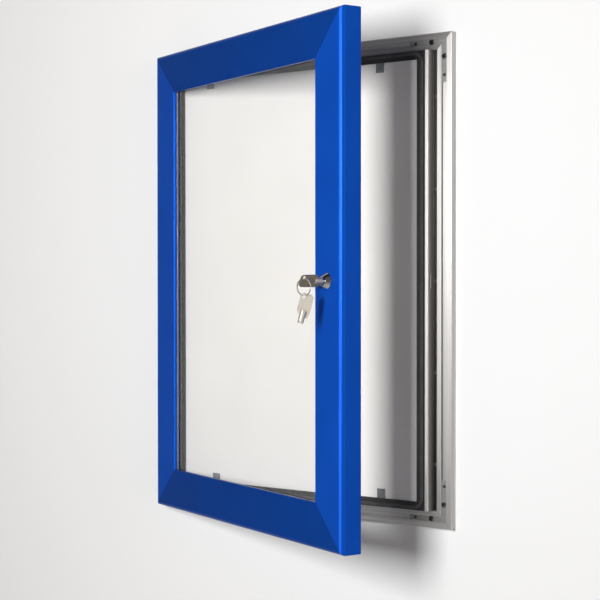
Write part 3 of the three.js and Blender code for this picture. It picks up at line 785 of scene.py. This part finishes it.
class Assembly:
    """A group of pieces on one or more bodies, dressed and added to."""

    edge: float = 0.25
    sharp: float = math.radians(28)
    weld: float = 0.001
    flatness: float = math.radians(0.5)

    def soften(self, piece: Object, edge: float, corner: float) -> None:
        """Rounds a piece's edges a little and lets round faces shade round.

        Args:
            piece: The object.
            edge: The rounding's width in millimetres, or 0 for none.
            corner: The least angle of an edge that is rounded.
        """
        for face in piece.data.polygons:
            face.use_smooth = True
        weld = piece.modifiers.new("weld", "WELD")
        weld.merge_threshold = self.weld * MM
        if edge:
            flat = piece.modifiers.new("flat", "DECIMATE")
            flat.decimate_type = "DISSOLVE"
            flat.angle_limit = self.flatness
            bevel = piece.modifiers.new("edge", "BEVEL")
            bevel.width = edge * MM
            bevel.segments = 2
            bevel.angle_limit = corner
        piece.modifiers.new("shade", "WEIGHTED_NORMAL")

    def dress(
        self,
        node: str,
        finish: Finish,
        edge: float | None = None,
        corner: float | None = None,
    ) -> None:
        """Gives a CAD node its finish.

        Args:
            node: The node's name.
            finish: The finish.
            edge: The width of its edges' rounding in millimetres, or the usual one.
            corner: The least angle of an edge that is rounded, or the usual one.
        """
        piece = frame["nodes"][node]
        piece.data.materials.clear()
        piece.data.materials.append(finish.material())
        self.soften(piece, self.edge if edge is None else edge, self.sharp if corner is None else corner)
        log.info("dressed %s in %s", node, finish.name)

    def add(
        self,
        name: str,
        mesh: BMesh,
        place: Matrix,
        body: str,
        finish: Finish,
        stands_for: Sequence[str] = (),
    ) -> None:
        """Adds a piece that rides on a body.

        Args:
            name: The piece's name.
            mesh: Its mesh, which is used up.
            place: Where it goes, in the row's frame.
            body: The body that it rides on.
            finish: Its finish.
            stands_for: The CAD nodes that it replaces.
        """
        piece = new_object(name, mesh, place, finish)
        self.soften(piece, 0, self.sharp)
        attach(piece, body)
        if stands_for:
            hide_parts(*stands_for)
        log.info("added %s on %s", name, body)


@dataclass(frozen=True)
class Screw:
    """Pan-head screw with a cross recess, in millimetres. Its head stands on Z from 0."""

    head: float = 3.1
    rise: float = 1.5
    dome: float = 0.72
    shank: float = 1.5
    length: float = 8.0
    tip: float = 1.0
    slot: float = 0.42
    reach: float = 1.7
    depth: float = 0.9
    rings: int = 14
    steps: int = 48

    def top(self, x: float, y: float) -> float:
        """The height of the head's face at a place, with the cross cut into it."""
        share = min(math.hypot(x, y) / self.head, 1)
        dome = self.rise * math.sqrt(1 - self.dome * share**2)
        near, far = sorted((abs(x), abs(y)))
        cut = self.depth * max(0.0, 1 - far / self.reach) ** 0.5 if near < self.slot else 0.0
        return dome - cut

    def mesh(self) -> BMesh:
        """Builds the screw.

        Returns:
            Its closed mesh, in metres.
        """
        stem = ((0, -self.length), (self.shank, self.tip - self.length), (self.shank, 0), (self.head, 0))
        mesh = turned(stem, self.steps)
        between = (self.shank + self.head) / 2 * MM
        edge = [vertex for vertex in mesh.verts if vertex.co.z == 0 and vertex.co.xy.length > between]
        edge.sort(key=lambda vertex: math.atan2(vertex.co.y, vertex.co.x))
        outer = edge
        for ring in range(self.rings, 0, -1):
            radius = self.head * ring / self.rings
            places = [tuple(radius * part / self.head / MM for part in vertex.co.xy) for vertex in edge]
            inner = [mesh.verts.new((x * MM, y * MM, self.top(x, y) * MM)) for x, y in places]
            for at, vertex in enumerate(inner):
                mesh.faces.new((outer[at], vertex, inner[at - 1], outer[at - 1]))
            outer = inner
        middle = mesh.verts.new((0, 0, self.top(0, 0) * MM))
        for at, vertex in enumerate(outer):
            mesh.faces.new((vertex, middle, outer[at - 1]))
        bmesh.ops.recalc_face_normals(mesh, faces=mesh.faces)
        return mesh


@dataclass
class WallFrame(Assembly):
    """The four mitred frame rails with their corner keys, grub screws and lock strip."""

    profile_edge: float = 0.2
    grub_edge: float = 0.1
    strip_screw: Screw = Screw(head=2.6, rise=1.2, shank=1.2, length=2, reach=1.4, depth=0.7)
    strip_screws: int = 5
    foot_top: float = 4.8
    foot_middle: float = 3.6

    def build(self) -> None:
        """Dresses the rails and what is in them, and screws the lock strip down."""
        for side in ("bottom", "top"):
            self.dress(f"frame_rail_{side}", SILVER_LEVEL, self.profile_edge)
        self.dress("frame_rail_left", SILVER_UPRIGHT, self.profile_edge)
        self.dress("frame_rail_right", SILVER_CHANNEL_SHADED, self.profile_edge)
        for corner in ("bottom_left", "bottom_right", "top_right", "top_left"):
            self.dress(f"frame_corner_key_{corner}", DRILLED_ZINC)
            for number in (1, 2):
                self.dress(f"grub_screw_{corner}_{number}", SHADED_SCREW_ZINC, self.grub_edge)
        self.dress("lock_strip", SILVER_STRIP_LIT_AND_SHADED, self.profile_edge)
        self.screw_strip()

    def screw_strip(self) -> None:
        """Sets pan-head screws along the lock strip's foot, each in the middle of its share of the length."""
        low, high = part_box("lock_strip")
        spacing = (high.z - low.z) / self.strip_screws
        for number in range(self.strip_screws):
            height = low.z + (number + 0.5) * spacing
            place = facing_out(Vector((high.x - self.foot_middle * MM, -self.foot_top * MM, height)))
            self.add(f"strip_screw_{number + 1}", self.strip_screw.mesh(), place, "frame", SHADED_SCREW_ZINC)


@dataclass
class BoardInsert(Assembly):
    """The white board with its seal and poster clips."""

    board_edge: float = 0.3
    seal_edge: float = 0.15
    seal_corner: float = math.radians(50)
    clip_edge: float = 0.15

    def build(self) -> None:
        """Dresses the board and what lies on it."""
        self.dress("back_panel", WHITE_BOARD, self.board_edge)
        self.dress("seal", BLACK_SEAL, self.seal_edge, self.seal_corner)
        for corner in ("top_left", "top_right", "bottom_left", "bottom_right"):
            self.dress(f"poster_clip_{corner}", SMOKY_CLIP, self.clip_edge)


@dataclass
class Door(Assembly):
    """The glazed door: four mitred rails, corner keys, glazing and beads."""

    def build(self) -> None:
        """Dresses the door's pieces."""
        for side in ("bottom", "top"):
            self.dress(f"door_rail_{side}", BLUE_LEVEL_SHADED)
            self.dress(f"glazing_bead_{side}", SILVER_LEVEL)
        for side in ("left", "right"):
            self.dress(f"door_rail_{side}", BLUE_UPRIGHT)
            self.dress(f"glazing_bead_{side}", SHADED_BEAD)
        for corner in ("bottom_left", "bottom_right", "top_right", "top_left"):
            self.dress(f"door_corner_key_{corner}", FITTING_ZINC)
        self.dress("glazing", CLEAR_SHEET, 0)


@dataclass
class Hinges(Assembly):
    """The two pin hinges with the screws in their leaves."""

    leaf_edge: float = 0.2
    spread: float = 20.0
    axis_from_door_face: float = 4.4
    frame_screw: Screw = Screw()
    frame_leaf_top: float = 11.8
    frame_leaf_screws: Pair = (4.15, 19.05)
    door_screw: Screw = Screw(head=2.8, rise=1.2, length=2.6)
    door_leaf_screw: float = 18.0
    door_leaf_face: float = 3.1

    def build(self) -> None:
        """Dresses the leaves and pins, and screws the leaves down."""
        frame_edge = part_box("frame_rail_left")[0].x
        door_edge = joint("door_hinge")["pos_m"][0] - self.axis_from_door_face * MM
        rest = shut_to_rest()
        for name in ("upper", "lower"):
            for piece in ("frame_leaf", "door_leaf", "pin"):
                self.dress(f"hinge_{name}_{piece}", FITTING_ZINC, self.leaf_edge)
            middle = centre(f"hinge_{name}_pin").z
            for side, end in (("top", 1), ("bottom", -1)):
                height = middle + end * self.spread * MM
                for row, across in zip(("outer", "inner"), self.frame_leaf_screws):
                    screw = f"hinge_{name}_frame_screw_{side}_{row}"
                    at = Vector((frame_edge + across * MM, -self.frame_leaf_top * MM, height))
                    self.add(screw, self.frame_screw.mesh(), facing_out(at), "frame", FITTING_ZINC)
                screw = f"hinge_{name}_door_screw_{side}"
                at = Vector((door_edge + self.door_leaf_face * MM, -self.door_leaf_screw * MM, height))
                place = rest @ basis(OUT, UP, RIGHT, at)
                self.add(screw, self.door_screw.mesh(), place, "door", FITTING_ZINC)


@dataclass
class Lock(Assembly):
    """The tubular key lock: collar, threaded body, nut, plug, cam and its screw."""

    nut_edge: float = 0.3
    cam_edge: float = 0.2
    root: float = 5.9
    crest: float = 6.2
    pitch: float = 1.0
    # A flank's share of the pitch, the share of the height at the ends, and how steeply the ends rise.
    flank: float = 0.42
    least_height: float = 0.05
    run_out: float = 12.0
    thread_from: float = 17.2
    thread_to: float = 12.1
    steps: int = 40

    def build(self) -> None:
        """Dresses the lock and cuts the thread that shows behind the nut."""
        for piece in ("lock_collar", "lock_body", "lock_plug"):
            self.dress(piece, LOCK_CHROME, 0)
        self.dress("lock_nut", FITTING_ZINC, self.nut_edge)
        for piece in ("lock_cam", "cam_screw"):
            self.dress(piece, FITTING_ZINC, self.cam_edge)
        self.cut_thread()

    def cut_thread(self) -> None:
        """Winds a thread round the rear end of the lock's body, low at both its ends."""
        out = Vector(joint("lock_turn")["axis"]).normalized()
        turns = (self.thread_from - self.thread_to) / self.pitch
        flank = self.pitch * self.flank
        mesh = bmesh.new()
        last = None
        for step in range(int(turns * self.steps) + 1):
            share = step / (turns * self.steps)
            height = max(min(1.0, self.run_out * share, self.run_out * (1 - share)), self.least_height)
            angle = 2 * math.pi * step / self.steps
            depth = -self.thread_from + self.pitch * step / self.steps
            crest = self.root + (self.crest - self.root) * height
            section = ((self.root, depth - flank), (crest, depth), (self.root, depth + flank))
            ring = [mesh.verts.new(around(radius, angle, z)) for radius, z in section]
            if last:
                for at in range(3):
                    mesh.faces.new((last[at], last[(at + 1) % 3], ring[(at + 1) % 3], ring[at]))
            else:
                mesh.faces.new(ring)
            last = ring
        mesh.faces.new(reversed(last))
        bmesh.ops.recalc_face_normals(mesh, faces=mesh.faces)
        place = basis(UP.cross(out), UP, out, self.door_face(out))
        self.add("lock_body_thread", mesh, place, "door", LOCK_CHROME)

    def door_face(self, out: Vector) -> Vector:
        """Where the lock's axis meets the plane of the door's face.

        Args:
            out: The direction out of the door.

        Returns:
            The point.
        """
        pivot = Vector(joint("lock_turn")["pos_m"])
        corners = frame["nodes"]["door_rail_right"].data.vertices
        reach = max((Vector(corner.co) - pivot).dot(out) for corner in corners)
        return pivot + out * reach


@dataclass
class KeyTube:
    """Tube of a tubular key with its pin cuts, in millimetres. Z runs from the tip to the bow."""

    radius: float = 3.7
    bore: float = 2.35
    length: float = 15.5
    bore_depth: float = 8.0
    pin_cuts: tuple[float, ...] = (1.1, 2.4, 0.9, 1.9, 2.6, 1.4, 2.0)
    pins: int = 8
    cut_half: float = 0.75
    chamfer: float = 0.25
    steps: int = 160

    def rim(self, angle: float) -> float:
        """How far back from the tip the rim lies at an angle, with the round bottom of a pin cut."""
        number = round(angle / (2 * math.pi) * self.pins)
        if number % self.pins >= len(self.pin_cuts):
            return 0.0
        off = abs(angle - 2 * math.pi * number / self.pins) * self.radius
        if off >= self.cut_half:
            return 0.0
        return self.pin_cuts[number % self.pins] - self.cut_half + math.sqrt(self.cut_half**2 - off**2)

    def mesh(self) -> BMesh:
        """Builds the tube.

        Returns:
            Its closed mesh, in metres.
        """
        mesh = bmesh.new()
        angles = [2 * math.pi * (step + 0.5) / self.steps for step in range(self.steps)]
        rims = [max(self.rim(angle), self.rim(angle - 2 * math.pi)) for angle in angles]
        profile: list[Callable[[float], Pair]] = [
            lambda rim: (self.bore, self.bore_depth),
            lambda rim: (self.bore, rim + self.chamfer / 2),
            lambda rim: (self.bore + self.chamfer / 2, rim),
            lambda rim: (self.radius - self.chamfer, rim),
            lambda rim: (self.radius, rim + self.chamfer),
            lambda rim: (self.radius, self.length - self.chamfer),
            lambda rim: (self.radius - self.chamfer, self.length),
        ]
        rings = []
        for point in profile:
            spots = [(angle, *point(rim)) for angle, rim in zip(angles, rims)]
            rings.append([mesh.verts.new(around(radius, angle, height)) for angle, radius, height in spots])
        for lower, upper in zip(rings, rings[1:]):
            for at in range(self.steps):
                mesh.faces.new((lower[at], lower[at - 1], upper[at - 1], upper[at]))
        mesh.faces.new(rings[0])
        mesh.faces.new(rings[-1])
        bmesh.ops.recalc_face_normals(mesh, faces=mesh.faces)
        return mesh


@dataclass
class Keys(Assembly):
    """The key in the lock, the split ring and the spare key."""

    def build(self) -> None:
        """Dresses the bows and the ring, and gives both keys their cut tubes."""
        for key, finish in (("key", KEY_SHADED), ("spare_key", KEY_NICKEL)):
            self.dress(f"{key}_bow", finish)
            mesh, place = KeyTube().mesh(), self.tube_place(key)
            self.add(f"{key}_cut_tube", mesh, place, key, KEY_NICKEL, (f"{key}_tube",))
        self.dress("key_ring", KEY_NICKEL, 0)

    def tube_place(self, prefix: str) -> Matrix:
        """Where a key's tube lies, from its solid.

        Args:
            prefix: The start of the key's node names.

        Returns:
            The matrix that takes the tube's own space to the row's frame.
        """
        _, (along, _, _) = principal_axes(f"{prefix}_tube")
        bow_middle, (_, _, flat) = principal_axes(f"{prefix}_bow")
        corners = [Vector(vertex.co) for vertex in frame["nodes"][f"{prefix}_tube"].data.vertices]
        middle = sum(corners, Vector()) / len(corners)
        if (bow_middle - middle).dot(along) < 0:
            along = -along
        reach = min((corner - middle).dot(along) for corner in corners)
        side = (flat - along * flat.dot(along)).normalized()
        return basis(side.cross(along), side, along, middle + along * reach)


@dataclass
class Studio:
    """Camera, lights, wall and floor."""

    camera_place: Triple = (1.1982, -1.6780, -0.0015)
    camera_yaw: float = 35.81
    camera_pitch: float = -0.70
    camera_roll: float = 0.02
    focal_pixels: float = 1460.1
    picture_pixels: int = 600
    sensor_millimetres: float = 36.0
    clip_end: float = 50.0
    softbox_size: Pair = (0.56, 0.7)
    softbox_power: float = 46.5
    softbox_place: Triple = (0.32, -2.18, 0.28)
    glaze_size: Pair = (2.0, 1.6)
    glaze_power: float = 70.0
    glaze_place: Triple = (-0.8, -1.5, 0.1)
    sun_angle: float = 40.0
    side_strength: float = 0.7
    side_direction: Triple = (0.98, -0.17, 0.05)
    rear_strength: float = 2.2
    rear_direction: Triple = (-0.35, 0.93, 0.05)
    sky_direction: Triple = (0.5, -0.87, 0.0)
    # The sky grows from its dark to its soft level between these cosines to that direction.
    sky_fade: Pair = (0.35, 0.7)
    sky_levels: Pair = (0.03, 0.14)
    sky_warm: str = "#fff1e0"
    sky_white: str = "#ffffff"
    horizon: float = 0.05
    floor_level: float = -1.9
    wall_behind: float = 0.0005
    holes_behind: float = 0.0003
    reach: float = 6.0
    # The black discs of painted shade behind the frame's screw holes: their radius and sides.
    hole_shade_radius: float = 0.004
    hole_shade_sides: int = 32

    def build(self) -> None:
        """Sets the camera, the lights and the ground."""
        self.camera()
        softbox = self.panel("softbox", self.softbox_size, self.softbox_power, self.softbox_place)
        softbox.rotation_euler = softbox.location.to_track_quat("Z", "Y").to_euler()
        self.glaze()
        self.sun("side_light", self.side_strength, self.side_direction)
        self.sun("rear_light", self.rear_strength, self.rear_direction)
        self.sky()
        self.wall()
        self.paint_hole_shade()
        self.floor()

    def camera(self) -> None:
        """Puts the camera where the photograph was taken from."""
        data = bpy.data.cameras.new("camera")
        data.sensor_width = self.sensor_millimetres
        data.lens = self.focal_pixels * self.sensor_millimetres / self.picture_pixels
        data.clip_end = self.clip_end
        camera = bpy.data.objects.new("camera", data)
        camera.location = self.camera_place
        camera.rotation_euler = [
            math.radians(angle) for angle in (90 + self.camera_pitch, self.camera_roll, self.camera_yaw)
        ]
        bpy.context.scene.collection.objects.link(camera)
        bpy.context.scene.camera = camera
        bpy.context.scene.view_settings.view_transform = "Standard"

    def panel(self, name: str, size: Pair, power: float, place: Triple) -> Object:
        """Hangs a lamp with a lit panel in front of the object. The camera doesn't see it.

        Args:
            name: The lamp's name.
            size: The panel's width and height.
            power: Its power in watts.
            place: Where its middle is.

        Returns:
            The lamp, which faces the wall.
        """
        data = bpy.data.lights.new(name, "AREA")
        data.shape = "RECTANGLE"
        data.size, data.size_y = size
        data.energy = power
        lamp = bpy.data.objects.new(name, data)
        lamp.location = place
        lamp.rotation_euler = (math.radians(90), 0, 0)
        lamp.visible_camera = False
        bpy.context.scene.collection.objects.link(lamp)
        return lamp

    def glaze(self) -> None:
        """Draws the pale line on the door's round edges, in place of what they mirror in the photograph."""
        lamp = self.panel("glaze", self.glaze_size, self.glaze_power, self.glaze_place)
        lamp.visible_diffuse = False
        coated = bpy.data.collections.new("coated")
        for side in ("bottom", "right", "top", "left"):
            coated.objects.link(frame["nodes"][f"door_rail_{side}"])
        lamp.light_linking.receiver_collection = coated

    def sun(self, name: str, strength: float, direction: Sequence[float]) -> None:
        """Adds a far soft lamp.

        Args:
            name: The lamp's name.
            strength: Its light on a surface that faces it.
            direction: The way from the object to the lamp.
        """
        data = bpy.data.lights.new(name, "SUN")
        data.energy = strength
        data.angle = math.radians(self.sun_angle)
        lamp = bpy.data.objects.new(name, data)
        lamp.rotation_euler = Vector(direction).to_track_quat("Z", "Y").to_euler()
        bpy.context.scene.collection.objects.link(lamp)

    def sky(self) -> None:
        """Fills the room with soft light from the front, and leaves its sides darker."""
        world = bpy.data.worlds.new("studio")
        bpy.context.scene.world = world
        world.use_nodes = True
        tree = world.node_tree
        tree.nodes.clear()
        direction = add_node(tree, "ShaderNodeTexCoord").outputs["Generated"]
        ends = {0: direction, 1: self.sky_direction}
        towards = add_node(tree, "ShaderNodeVectorMath", {"operation": "DOT_PRODUCT"}, ends).outputs["Value"]
        depth = add_node(tree, "ShaderNodeMath", {"operation": "ABSOLUTE"}, {0: towards}).outputs[0]
        side, front = self.sky_fade
        dark, soft = self.sky_levels
        ends = {"Value": depth, "From Min": side, "From Max": front, "To Min": dark, "To Max": soft}
        fade = add_node(tree, "ShaderNodeMapRange", {"interpolation_type": "SMOOTHSTEP"}, ends)
        rear = add_node(tree, "ShaderNodeSeparateXYZ", inputs={0: direction}).outputs["Y"]
        ends = {"Value": rear, "From Min": -self.horizon, "From Max": self.horizon}
        behind = add_node(tree, "ShaderNodeMapRange", inputs=ends).outputs[0]
        rays = add_node(tree, "ShaderNodeLightPath").outputs
        mirrored = {0: rays["Is Glossy Ray"], 1: behind}
        white = add_node(tree, "ShaderNodeMath", {"operation": "MULTIPLY"}, mirrored).outputs[0]
        for ray in ("Is Camera Ray", "Is Transmission Ray"):
            seen = {0: white, 1: rays[ray]}
            white = add_node(tree, "ShaderNodeMath", {"operation": "MAXIMUM"}, seen).outputs[0]
        levels = {"Value": white, "To Min": fade.outputs[0], "To Max": 1.0}
        level = add_node(tree, "ShaderNodeMapRange", inputs=levels).outputs[0]
        colours = {0: white, 6: linear(self.sky_warm), 7: linear(self.sky_white)}
        colour = add_node(tree, "ShaderNodeMix", {"data_type": "RGBA"}, colours).outputs[2]
        light = add_node(tree, "ShaderNodeBackground", inputs={"Color": colour, "Strength": level})
        add_node(tree, "ShaderNodeOutputWorld", inputs={"Surface": light.outputs[0]})

    def plane(self, name: str, place: Matrix, low: float, paint: Paint) -> Object:
        """Adds a plane of the stage.

        Args:
            name: Its name.
            place: Where it goes: it lies in X and Y and faces Z.
            low: How far it reaches along -Y. It reaches as far as the stage along the rest.
            paint: Its finish.

        Returns:
            The plane.
        """
        mesh = bmesh.new()
        far = self.reach
        corners = ((-far, -low), (far, -low), (far, far), (-far, far))
        mesh.faces.new([mesh.verts.new((x, y, 0)) for x, y in corners])
        plane = new_object(name, mesh, place, paint)
        return plane

    def wall(self) -> None:
        """Stands the wall behind the object. It shows and takes shadows, but dims nothing behind it."""
        wall = self.plane("wall", facing_out(Vector((0, self.wall_behind, 0))), -self.floor_level, WALL_PAINT)
        wall.visible_diffuse = False
        wall.visible_shadow = False

    def paint_hole_shade(self) -> None:
        """Puts a black disc on the wall behind each of the frame's screw holes, as painted shade in the
        holes.
        """
        for across, up in WALL_HOLES:
            for side, end in ((-1, -1), (-1, 1), (1, -1), (1, 1)):
                mesh = bmesh.new()
                size = {"segments": self.hole_shade_sides, "radius": self.hole_shade_radius}
                bmesh.ops.create_circle(mesh, cap_ends=True, **size)
                place = facing_out(Vector((side * across * MM, self.holes_behind, end * up * MM)))
                hole = new_object("hole_shade_disc", mesh, place, HOLE_SHADE_PAINT)
                hole.visible_shadow = False

    def floor(self) -> None:
        """Lays the floor below."""
        self.plane("floor", Matrix.Translation((0, 0, self.floor_level)), self.reach, FLOOR_PAINT)


def main() -> None:
    """Builds the scene."""
    logging.basicConfig(level=logging.INFO, format="%(message)s")
    for part in (WallFrame(), BoardInsert(), Door(), Hinges(), Lock(), Keys(), Studio()):
        part.build()
        log.info("%s is built", type(part).__name__)


if __name__ == "__main__":
    main()
